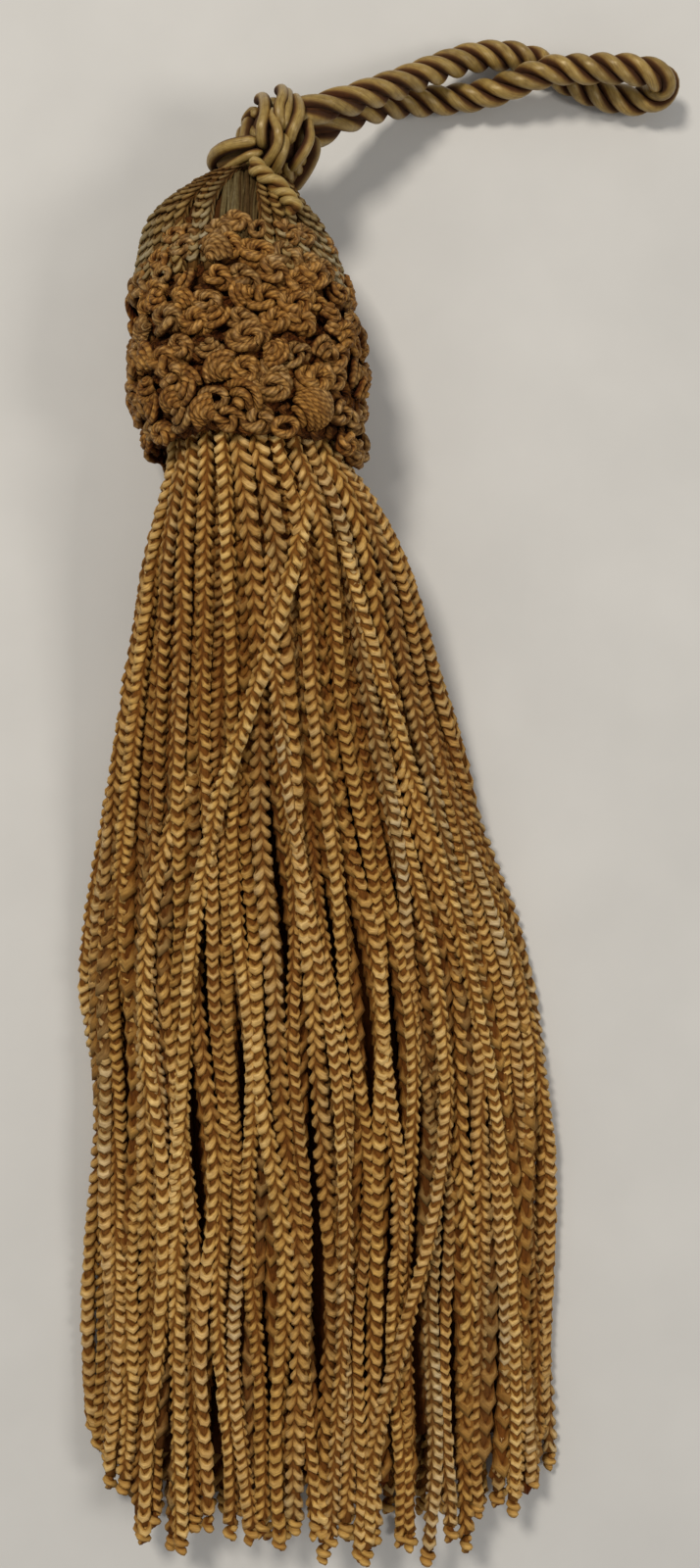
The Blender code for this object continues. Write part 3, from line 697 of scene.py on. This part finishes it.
def silk(name, tints, roughness, fibre_scale=9.0, fibre_strength=0.35, shine=0.25, mottle=0.3, twist=0.0):
    """Return satin silk yarn: a tint for each strand, fine filaments, mottling, painted shade and
    highlights.

    twist is how strongly the turns of a twisted yarn show, as painted shade in the grooves between the
    turns and a bump.
    """
    material, node = new_material(name)
    tint, depth, grain = [node("ShaderNodeAttribute", attribute_name=label).outputs[socket]
                          for label, socket in (("tint", "Fac"), ("depth", "Fac"), ("grain", "Vector"))]
    stretch = node("ShaderNodeVectorMath", operation="MULTIPLY", Vector=grain)
    stretch.inputs[1].default_value = (fibre_scale, fibre_scale, 0.55)
    fibres = node("ShaderNodeTexNoise", Vector=stretch.outputs["Vector"], Scale=1.0, Detail=3.0,
                  Roughness=0.6).outputs["Fac"]
    base = ramp(node, tint, *[(i / (len(tints) - 1), colour) for i, colour in enumerate(tints)])
    lights = ramp(node, fibres, (0.38, (0.78, 0.74, 0.68)), (0.62, (1.16, 1.15, 1.12)))
    spots = node("ShaderNodeTexNoise", Vector=grain, Scale=1.9, Detail=2.0, Roughness=0.5).outputs["Fac"]
    wide = 0.15 - 0.05 * mottle
    patches = ramp(node, spots, (0.5 - wide, (0.42, 0.30, 0.20)), (0.5, (0.92, 0.90, 0.86)),
                   (0.5 + wide, (1.28, 1.28, 1.24)))
    mottled = multiplied(node, multiplied(node, base, lights), patches, mottle)
    # Painted shade and highlight: each point's painted light picks a colour from dark painted shade in the
    # hollows up to a painted highlight brighter than the tint
    painted_shade_colour = bpy.context.scene.tassel_colours.hollow
    painted_shading = ramp(node, depth, (0.0, painted_shade_colour), (0.35, (0.38, 0.225, 0.085)), (0.7, (0.90, 0.77, 0.51)),
                  (1.0, (1.19, 1.18, 1.16)))
    colour = multiplied(node, painted_shading, mottled)
    normal = node("ShaderNodeBump", Strength=fibre_strength, Distance=0.00008,
                  Height=fibres).outputs["Normal"]
    if twist:
        # Painted shade in the grooves between a twisted yarn's turns
        turns = node("ShaderNodeTexWave", wave_type="BANDS", bands_direction="DIAGONAL", Vector=grain,
                     Scale=1.2, Distortion=2.5, Detail=1.0).outputs["Fac"]
        twist_shade = ramp(node, turns, (0.1, (0.42, 0.34, 0.26)), (0.55, (1.12, 1.10, 1.06)))
        colour = multiplied(node, colour, twist_shade, twist)
        normal = node("ShaderNodeBump", Strength=twist, Distance=0.00010, Height=turns,
                      Normal=normal).outputs["Normal"]
    dull = node("ShaderNodeMapRange", Value=depth, **{"To Min": 1.0, "To Max": roughness})
    add_shader(node, colour, Normal=normal, Roughness=dull.outputs["Result"],
               **{"Specular IOR Level": shine, "Specular Tint": (1.0, 0.85, 0.6, 1.0)})
    return material


def scaled(colour, factors):
    """Return a colour with its red, green and blue multiplied by factors."""
    return tuple(value * factor for value, factor in zip(colour, factors))


def strand_tints(factors=(1, 1, 1)):
    """Return the scaled tints of strands from the greyish to the golden, and last of the tied ends."""
    colours = bpy.context.scene.tassel_colours
    return [scaled(tint, factors) for tint in (colours.olive, colours.bronze, colours.gold, colours.tied)]


def shades(colour, factors):
    """Return one colour at several brightnesses."""
    return [scaled(colour, (factor,) * 3) for factor in factors]


def rope_silk(context):
    """Return the silk of the rope and its knot, made once."""
    return bpy.data.materials.get("loop_satin") or silk(
        "loop_satin", shades(context.scene.tassel_colours.rope, (0.8, 1.0, 1.2)), 0.30,
        fibre_scale=14.0, fibre_strength=0.5, shine=0.6)


# Settings


def length_setting(name, description, default, least=0.5):
    """Return a property for a length, given in millimetres."""
    return bpy.props.FloatProperty(name=name, description=description, default=default * MM,
                                   min=least * MM, unit="LENGTH")


def colour_setting(name, description, default):
    """Return a property for a colour."""
    return bpy.props.FloatVectorProperty(name=name, description=description, default=default,
                                         subtype="COLOR", min=0, max=1)


class TasselSizes(bpy.types.PropertyGroup):
    """Sizes that a user would change."""

    strand_width: length_setting("Strand width", "Width of one chained strand", 1.75)
    stitch_length: length_setting("Stitch length", "Length of one chain stitch", 1.65)
    strand_length: length_setting("Strand length", "Length of the skirt below the ruff", 110.0, 10)
    outer_strands: bpy.props.IntProperty(
        name="Outer strands", description="Strands round the outside of the skirt", default=58, min=8)
    rope_diameter: length_setting("Rope diameter", "Diameter of the loop's rope", 3.2, 1)
    rope_lay: length_setting("Rope lay", "Length in which a ply goes once round the rope", 7.5, 2)


class TasselColours(bpy.types.PropertyGroup):
    """Colours of the silks."""

    gold: colour_setting("Gold", "Golden strands", (0.585, 0.405, 0.165))
    bronze: colour_setting("Bronze", "Middle brown strands", (0.50, 0.325, 0.13))
    olive: colour_setting("Olive", "Greyish strands", (0.47, 0.365, 0.215))
    tied: colour_setting("Tied ends", "Small balls at the strands' ends", (0.46, 0.28, 0.10))
    # Painted shade: the colour that stands for the shade between the stitches
    hollow: colour_setting("Hollow", "Dark between the stitches", (0.15, 0.04, 0.006))
    rope: colour_setting("Rope", "Satin rope", (0.245, 0.166, 0.052))
    pale: colour_setting("Pale thread", "Thin cord of the tail", (0.33, 0.235, 0.085))


class TasselStage(bpy.types.PropertyGroup):
    """Camera and surface."""

    camera_height: length_setting("Camera height", "Height of the camera over the surface", 200, 50)
    view_height: length_setting("View height", "Length of surface along the picture's long side", 166.7, 10)
    camera_x: length_setting("Camera X", "Camera's place across the tassel", 3.2, -1000)
    camera_y: length_setting("Camera Y", "Camera's place along the tassel", 4.9, -1000)
    floor: colour_setting("Floor", "Colour of the surface", (0.62, 0.60, 0.56))


# Operators


class TASSEL_OT_stage(bpy.types.Operator):
    """Make the surface, the lights and the camera straight above"""

    bl_idname = "tassel.stage"
    bl_label = "Stage"

    def execute(self, context):
        stage = context.scene.tassel_stage
        camera = bpy.data.cameras.new("camera")
        camera.sensor_width = 36.0
        camera.lens = camera.sensor_width * stage.camera_height / stage.view_height
        camera.clip_start = 0.001
        eye = bpy.data.objects.new("camera", camera)
        eye.location = (stage.camera_x, stage.camera_y, stage.camera_height)
        context.collection.objects.link(eye)
        context.scene.camera = eye

        reach = 1.2
        mesh = bpy.data.meshes.new("surface")
        corners = [(-reach, -reach, 0), (reach, -reach, 0), (reach, reach, 0), (-reach, reach, 0)]
        mesh.from_pydata(corners, [], [(0, 1, 2, 3)])
        floor = bpy.data.objects.new("surface", mesh)
        floor.location.z = -0.00002
        context.collection.objects.link(floor)
        material, node = new_material("painted_surface")
        coords = node("ShaderNodeTexCoord").outputs["Object"]
        noise = node("ShaderNodeTexNoise", Vector=coords, Scale=60.0, Detail=6.0).outputs["Fac"]
        dull, bright = shades(stage.floor, (0.95, 1.03))
        add_shader(node, ramp(node, noise, (0.3, dull), (0.7, bright)), Roughness=0.7)
        mesh.materials.append(material)

        for lamp in LAMPS:
            light = bpy.data.lights.new(lamp.name, "AREA")
            light.size = lamp.size
            light.energy = lamp.power
            light.color = lamp.colour
            obj = bpy.data.objects.new(lamp.name, light)
            obj.location = lamp.place
            obj.rotation_euler = (-obj.location).to_track_quat("-Z", "Y").to_euler()
            context.collection.objects.link(obj)
        world = bpy.data.worlds.new("soft_sky")
        world.use_nodes = True
        background = world.node_tree.nodes["Background"]
        background.inputs["Color"].default_value = SKY_COLOUR
        background.inputs["Strength"].default_value = SKY_STRENGTH
        context.scene.world = world
        context.scene.view_settings.view_transform = "Standard"
        return {"FINISHED"}


class TASSEL_OT_loop(bpy.types.Operator):
    """Lay the hanging loop as three plies of satin silk"""

    bl_idname = "tassel.loop"
    bl_label = "Hanging loop"

    def execute(self, context):
        sizes = context.scene.tassel_sizes
        line = cord_line(LOOP_ROUTE, 0.25)
        radius = sizes.rope_diameter / MM / 2
        ply = radius * PLY_SHARE
        piece = Piece()
        step = 0.3
        distance = np.arange(0, line.length, step)
        from_knot = np.minimum(distance, line.length - distance)
        turned = np.cumsum(step / (sizes.rope_lay / MM * (1 + 1.3 * np.exp(-from_knot / 6))))
        place, across, out = line.at(distance)
        for number in range(ROPE_PLIES):
            lean = leaning(-across, out, TAU * (number / ROPE_PLIES + turned))
            piece.tubes(place + lean * (radius - ply), ply * line.taper(distance, 0.6, 0.4), 14, lean,
                        tint=0.3 + 0.3 * number, under=0.0, flank=-0.25)
        # Painted shade: a dark core between the plies
        core = line.at(np.linspace(0.6, line.length - 0.6, 120))[0]
        piece.tubes(core, radius * 0.5, 8, (0, 0, 1), depth=0.05, under=1.0)
        obj = piece.finish("loop_rope", rope_silk(context), "rope_silk", "hanging_loop")
        return {"FINISHED"}


class TASSEL_OT_knot(bpy.types.Operator):
    """Tie the doubled rope's knot from its separate plies"""

    bl_idname = "tassel.knot"
    bl_label = "Rope knot"

    def execute(self, context):
        piece = Piece()
        centre, reach = np.array(KNOT_CENTRE), np.array(KNOT_REACH)
        for radius, tint, route in KNOT_PLIES:
            points = smooth_route(route, 0.25)
            t = np.linspace(0, 1, len(points))
            radii = 0.92 * radius * np.clip(np.minimum(t, 1 - t) * 6 + 0.55, 0, 1)
            # Plies with no tint fill the knot's gaps with half the painted light, as painted shade
            piece.tubes(points, radii, 14, points - centre, tint=tint, depth=1.0 if tint else 0.5,
                        under=0.0, flank=-0.25)
        for number, x in enumerate(KNOT_UNDERSIDE):
            inset = 1.08 * math.sqrt(1 - (x / 3.1) ** 2)
            if abs(x) > 2.5:
                turn, taper = np.linspace(0, TAU, 30), 1.0
            else:
                turn = np.linspace(-0.7, math.pi + 0.7, 26)
                taper = np.clip(8 * np.sin(math.pi * np.linspace(0, 1, 26)) + 0.4, 0, 1)
            height = -inset * reach[2] * np.sin(turn)
            under = np.stack([x + 0.25 * np.sin(turn + number), inset * reach[1] * np.cos(turn),
                              np.where(height > 0, 0.7, 1.0) * height], axis=1)
            piece.tubes(centre + under, 0.62 * taper, 12, under, tint=0.3 + 0.1 * (number % 4), under=0.0,
                        flank=-0.1)
        # Painted shade: a dark core under the knot's plies
        heights = np.linspace(-0.97, 0.97, 14)
        core = centre + heights[:, None] * np.array([0, reach[1], 0])
        piece.tubes(core, reach[0] * np.sqrt(1 - heights ** 2), 24, (0, 0, 1), depth=0.12,
                    flatten=reach[2] / reach[0])
        piece.finish("knot_plies", rope_silk(context), "rope_silk", "rope_knot")
        return {"FINISHED"}


class TASSEL_OT_tail(bpy.types.Operator):
    """Lay the short end of pale twisted cord on the crown"""

    bl_idname = "tassel.tail"
    bl_label = "Tail cord"

    def execute(self, context):
        route = []
        for x, y in TAIL_ROUTE:
            radius, middle = head_section(CROWN_TURNS, CROWN_TOP - y)
            across = np.clip(x - middle, -radius, radius)
            route.append((x, y, HEAD_HEIGHT + math.sqrt(radius ** 2 - across ** 2) + 0.95))
        line = cord_line(route, 0.15)
        piece = Piece()
        distance = np.arange(0, line.length, 0.15)
        place, across, out = line.at(distance)
        for number in range(2):
            lean = leaning(out, across, TAU * (number / 2 - distance / 3.3) + 0.5 * np.sin(distance * 1.7))
            swell = 1 + 0.14 * np.sin(distance * 1.9 + number * 2)
            piece.tubes(place + lean * 0.42, 0.52 * line.taper(distance, 0.5, 0.35) * swell, 12, lean,
                        tint=0.3 + 0.4 * number, under=0.2, flank=0.2)
        pale = shades(context.scene.tassel_colours.pale, (0.85, 1.0, 1.1))
        material = silk("pale_cord", pale, 0.4, fibre_scale=12.0, fibre_strength=0.5, shine=0.4)
        piece.finish("tail_plies", material, "pale_thread", "tail_cord")
        return {"FINISHED"}


class TASSEL_OT_crown(bpy.types.Operator):
    """Fold the strands over the crown, with a smooth band of filaments in the middle"""

    bl_idname = "tassel.crown"
    bl_label = "Crown"

    def execute(self, context):
        sizes = context.scene.tassel_sizes
        rng = np.random.default_rng(17)
        half = sizes.strand_width / MM / 2
        piece = Piece()
        steep = [bend._replace(along=bend.along * 1.6) for bend in STITCH]
        upper = Chain(half, sizes.stitch_length / MM * 0.68, 0.32, 5, 0.5, 0.4, steep)
        lower = upper._replace(sides=4, stitch=PLAIN_STITCH)
        down = np.arange(-0.2, 13.0, 0.3)
        radius = head_section(CROWN_TURNS, down)[0]
        swell = np.clip(radius * TAU / 2 / CROWN_STRANDS * 1.15 / half, 0.2, 0.9)
        for angle in TAU * (np.arange(CROWN_STRANDS) + 0.5) / CROWN_STRANDS:
            if BAND_DEGREES[0] < math.degrees(angle) < BAND_DEGREES[1]:
                continue
            bent = angle + 0.04 * np.sin(down / 3 + rng.uniform(0, TAU))
            line = Line(*over_head(CROWN_TURNS, down, bent, (half * -0.6 * swell)[:, None]))
            line.turn(np.full(len(down), rng.uniform(-0.4, 0.4)))
            line.swell = swell
            line.shade = np.clip(0.40 + down / 16, 0, 0.9)
            hidden = HIDDEN_DEGREES[0] < math.degrees(angle) < HIDDEN_DEGREES[1]
            add_chain(piece, line, rng, rng.uniform(0, 0.35), lower if hidden else upper)
        add_head_core(piece, CROWN_TURNS, (0.0, 14.0), 20, 0.9, 0.2, 0.12)
        band = Piece()
        for x in np.linspace(*BAND_SIDES, BAND_FILAMENTS):
            down = np.arange(rng.uniform(-0.1, 0.4), rng.uniform(8.4, 9.6), 0.4)
            radius, middle = head_section(CROWN_TURNS, down)
            waved = x + 0.12 * np.sin(down * rng.uniform(0.4, 0.9) + rng.uniform(0, TAU))
            angle = np.arccos(np.clip((waved - middle) / radius, -0.95, 0.95))
            points, out = over_head(CROWN_TURNS, down, angle, -rng.uniform(0.5, 0.8))
            # The filaments right of x = -7.5 get less painted light, so the band is darker on its right
            band.tubes(points, rng.uniform(0.14, 0.22), 7, out, tint=rng.uniform(0, 1),
                       depth=rng.uniform(0.5, 0.8) * (1 if x < -7.5 else 0.7))
        # Painted shade: the crown's silk is a darker copy of the skirt's tints
        material = silk("crown_silk", strand_tints(CROWN_SHADE), 0.5)
        piece.finish("crown_strands", material, "strand_silk", "strand_bundle")
        # The band's silk is a much darker copy of the olive tint
        olive = scaled(context.scene.tassel_colours.olive, BAND_DARKENING)
        material = silk("band_silk", [olive, olive], 0.45)
        band.finish("crown_band", material, "strand_silk", "strand_bundle")
        return {"FINISHED"}


class TASSEL_OT_ruff(bpy.types.Operator):
    """Sew rows of small chain knots round the head"""

    bl_idname = "tassel.ruff"
    bl_label = "Knotted ruff"

    def execute(self, context):
        rng = np.random.default_rng(23)
        piece = Piece()
        kinds = (add_wound_lump, add_wound_lump, add_wound_lump, add_shell)
        for row in range(RUFF_ROWS):
            count = 25 + row % 2
            for place in range(count):
                angle = TAU * (place + 0.5 * (row % 2) + rng.uniform(-0.3, 0.3)) / count
                turn = math.degrees(angle)
                sag = 1.4 * (1 - max(math.sin(angle), 0)) * (row + 1) / RUFF_ROWS
                share = row + 0.5 + rng.uniform(-0.35, 0.35)
                down = RUFF_FIRST + share * (RUFF_LAST - RUFF_FIRST) / RUFF_ROWS + sag
                side = 0.5 - 0.5 * math.cos(min(max(turn - 105, 0) / 60, 1) * math.pi)
                if turn < 240 and down < RUFF_FIRST + 4.2 * side:
                    continue
                if abs(down - BALL_DOWN) < 2.6 and abs(turn - BALL_ANGLE) < 14:
                    continue
                add = rng.choice(kinds) if row else add_wound_lump
                add(piece, rng, down, angle, rng.uniform(0.98, 1.4 if row else 1.05), rng.uniform(0, 0.5))
        add_ball(piece, BALL_DOWN, math.radians(BALL_ANGLE), 2.0, 0.3)
        around = np.linspace(0, TAU, 120)
        ring = Chain(0.9, 1.7, 0.44, 4, 0.5, 0.3, PLAIN_STITCH)
        for down in np.linspace(RUFF_FIRST + 0.3, RUFF_LAST - 0.5, RUFF_RINGS):
            wave = down + 0.3 * np.sin(around * 9 + rng.uniform(0, TAU))
            line = Line(*over_head(RUFF_TURNS, wave, around, -1.9))
            line.shade = 0.32 * line.shade
            add_chain(piece, line, rng, rng.uniform(0, 0.7), ring)
        add_head_core(piece, RUFF_TURNS, (7.4, 27.0), 24, 2.2, 0.3, 0.0)
        # Painted shade: the ruff's silk is a darker copy of the skirt's tints
        material = silk("curled_silk", strand_tints(RUFF_SHADE), 0.5, mottle=0.7, twist=0.7)
        piece.finish("ruff_knots", material, "knotted_silk", "knotted_ruff")
        return {"FINISHED"}


class TASSEL_OT_skirt(bpy.types.Operator):
    """Hang the chained strands of the skirt"""

    bl_idname = "tassel.skirt"
    bl_label = "Skirt"

    def execute(self, context):
        sizes = context.scene.tassel_sizes
        rng = np.random.default_rng(5)
        material = silk("chained_silk", strand_tints(), 0.5)
        half, pitch = sizes.strand_width / MM / 2, sizes.stitch_length / MM
        groups = {"skirt_top_left": [], "skirt_top_right": [], "skirt_under": []}
        for share, line in skirt_lines(sizes, rng):
            if 0.27 < share < 0.73:
                groups["skirt_under"].append(line)
            else:
                groups["skirt_top_right" if share < 0.5 else "skirt_top_left"].append(line)
        groups["skirt_over"] = wandering_lines(sizes, rng)
        for name, lines in groups.items():
            piece = Piece()
            hidden = name == "skirt_under"
            for line in lines:
                fine = hidden or rng.random() < 0.6
                length = pitch * rng.uniform(*((0.60, 0.74) if fine else (0.80, 0.94)))
                chain = Chain(half * rng.uniform(0.97, 1.12), pitch * 1.05 if hidden else length,
                              rng.uniform(*((0.35, 0.40) if fine else (0.40, 0.45))), 4 if hidden else 5,
                              rng.choice((0.0, 0.5, 0.5)), 0.26, PLAIN_STITCH if fine else STITCH)
                add_chain(piece, line, rng, rng.uniform(*SKIRT_TINTS[name]), chain)
                add_knob(piece, line, rng, half)
            piece.finish(name, material, "strand_silk", "strand_bundle")
        piece = Piece()
        chain = Chain(half * 1.3, pitch * 1.5, 0.53, 4, 0.5, 0.25, PLAIN_STITCH)
        for line in inner_lines(sizes, rng):
            line.shade = 0.55 * line.shade
            add_chain(piece, line, rng, rng.uniform(0, 0.7), chain)
        # Painted shade: dark tubes inside the skirt, so that its slits look shaded
        for share in np.linspace(-0.8, 0.8, FILLING_STRANDS):
            below = np.arange(2.0, sizes.strand_length / MM - rng.uniform(6.0, 12.0), 2.0)
            middle, wide, crest, under, side = smooth_rows(SKIRT_SECTIONS, below).T
            top = side + (crest - side) * math.sqrt(1 - share ** 2)
            points = np.stack([middle + wide * share, RIM - below, under + 0.35 * (top - under)], axis=1)
            piece.tubes(points, half * 1.3, 7, (0, 0, 1), tint=0.3, depth=0.1)
        piece.finish("skirt_inner", material, "strand_silk", "strand_bundle")
        return {"FINISHED"}


class TASSEL_PT_sidebar(bpy.types.Panel):
    """List the tassel's settings and pieces"""

    bl_label = "Tassel"
    bl_idname = "TASSEL_PT_sidebar"
    bl_space_type = "VIEW_3D"
    bl_region_type = "UI"
    bl_category = "Tassel"

    def draw(self, context):
        for group in ("tassel_sizes", "tassel_colours", "tassel_stage"):
            settings = getattr(context.scene, group)
            box = self.layout.box()
            for name in settings.bl_rna.properties.keys():
                if name not in ("rna_type", "name"):
                    box.prop(settings, name)
        for operator in OPERATORS:
            self.layout.operator(operator.bl_idname)


GROUPS = {"tassel_sizes": TasselSizes, "tassel_colours": TasselColours, "tassel_stage": TasselStage}
OPERATORS = (TASSEL_OT_stage, TASSEL_OT_loop, TASSEL_OT_knot, TASSEL_OT_tail, TASSEL_OT_crown,
             TASSEL_OT_ruff, TASSEL_OT_skirt)


def register():
    for name, group in GROUPS.items():
        bpy.utils.register_class(group)
        setattr(bpy.types.Scene, name, bpy.props.PointerProperty(type=group))
    for operator in OPERATORS:
        bpy.utils.register_class(operator)
    bpy.utils.register_class(TASSEL_PT_sidebar)


def unregister():
    bpy.utils.unregister_class(TASSEL_PT_sidebar)
    for operator in reversed(OPERATORS):
        bpy.utils.unregister_class(operator)
    for name, group in GROUPS.items():
        delattr(bpy.types.Scene, name)
        bpy.utils.unregister_class(group)


def main():
    register()
    bpy.ops.tassel.stage()
    bpy.ops.tassel.loop()
    bpy.ops.tassel.knot()
    bpy.ops.tassel.tail()
    bpy.ops.tassel.crown()
    bpy.ops.tassel.ruff()
    bpy.ops.tassel.skirt()


if __name__ == "__main__":
    main()
